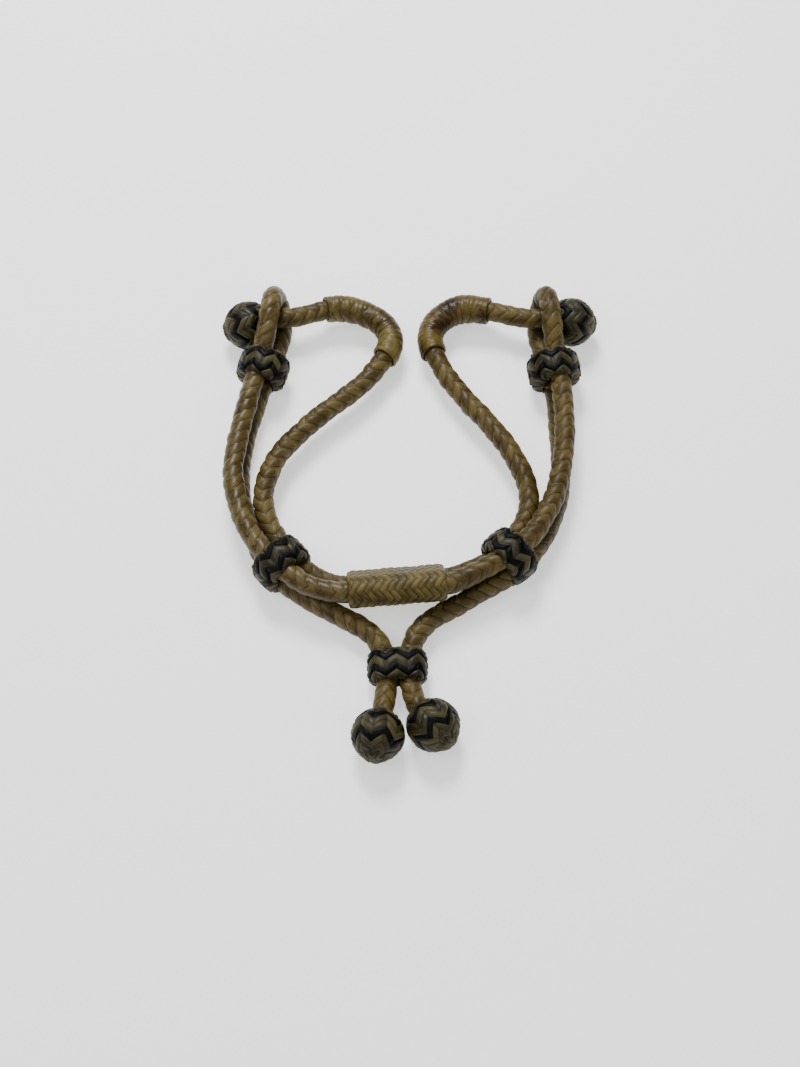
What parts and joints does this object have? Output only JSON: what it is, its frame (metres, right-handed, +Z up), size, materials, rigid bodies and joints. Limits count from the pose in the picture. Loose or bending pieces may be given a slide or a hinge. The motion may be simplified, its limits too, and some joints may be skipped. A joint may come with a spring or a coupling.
{
  "type": "horse hobbles",
  "caption": "Braided rawhide horse hobbles laid flat: buttoned leg loops on a short centre link, sliding keeper knots on the bights, and a pair of knotted tails.",
  "frame": {"origin": "on the resting surface, under the middle of the bounding box", "axes": "+Y from the tail knobs to the bights, +X to the right leg loop, +Z up off the resting surface"},
  "size_m": [0.1891, 0.2495, 0.0313],
  "materials": {
    "braid": "waxed rawhide braid, semi-gloss",
    "core": "twisted rawhide, matt",
    "knot": "woven tan and black lace, semi-gloss",
    "base": "wound rawhide foundation, matt",
    "sleeve": "shrunk rawhide, glossy",
    "cover": "fine lace braid, semi-gloss"
  },
  "bodies": {
    "link": {"centre_leg_strand": "braid", "centre_leg_core": "core", "centre_bight_strand": "braid", "centre_bight_core": "core", "left_lower_strand": "braid", "left_lower_core": "core", "right_lower_strand": "braid", "right_lower_core": "core", "centre_cover": "cover", "centre_binding": "base"},
    "left_loop": {"left_leg_strand": "braid", "left_leg_core": "core", "left_bend_sleeve": "sleeve", "left_bight_strand": "braid", "left_bight_core": "core", "left_knob": "knot", "left_knob_core": "base", "left_side_ring": "knot", "left_side_ring_base": "base"},
    "right_loop": {"right_leg_strand": "braid", "right_leg_core": "core", "right_bend_sleeve": "sleeve", "right_bight_strand": "braid", "right_bight_core": "core", "right_knob": "knot", "right_knob_core": "base", "right_side_ring": "knot", "right_side_ring_base": "base"},
    "left_keeper": {"left_keeper_ring": "knot", "left_keeper_base": "base"},
    "right_keeper": {"right_keeper_ring": "knot", "right_keeper_base": "base"},
    "tails": {"left_tail_strand": "braid", "left_tail_core": "core", "right_tail_strand": "braid", "right_tail_core": "core", "left_tail_knob": "knot", "left_tail_knob_core": "base", "right_tail_knob": "knot", "right_tail_knob_core": "base"},
    "tail_slide": {"tail_ring": "knot", "tail_ring_base": "base"}
  },
  "joints": [
    {"name": "left_loop_twist", "type": "hinge", "parent": "link", "child": "left_loop", "pos_m": [-0.05525, -0.0333, 0.0134], "axis": [0.6612, -0.7502, 0], "range_deg": [-30, 60], "stiffness_Nm_per_rad": 0.6},
    {"name": "right_loop_twist", "type": "hinge", "parent": "link", "child": "right_loop", "pos_m": [0.04068, -0.02874, 0.0134], "axis": [0.7408, 0.6718, 0], "range_deg": [-30, 60], "stiffness_Nm_per_rad": 0.6},
    {"name": "left_keeper_slide", "type": "slide", "parent": "left_loop", "child": "left_keeper", "axis": [-0.2303, -0.9706, -0.0701], "range_m": [0, 0.016]},
    {"name": "right_keeper_slide", "type": "slide", "parent": "right_loop", "child": "right_keeper", "axis": [0.13, -0.9902, -0.05], "range_m": [0, 0.016]},
    {"name": "tails_swing", "type": "hinge", "parent": "link", "child": "tails", "pos_m": [-0.0071, -0.0635, 0.0081], "axis": [1, 0, 0], "range_deg": [-45, 45], "stiffness_Nm_per_rad": 0.15},
    {"name": "tail_ring_slide", "type": "slide", "parent": "tails", "child": "tail_slide", "axis": [0.029, -0.9996, 0], "range_m": [0, 0.004]}
  ]
}
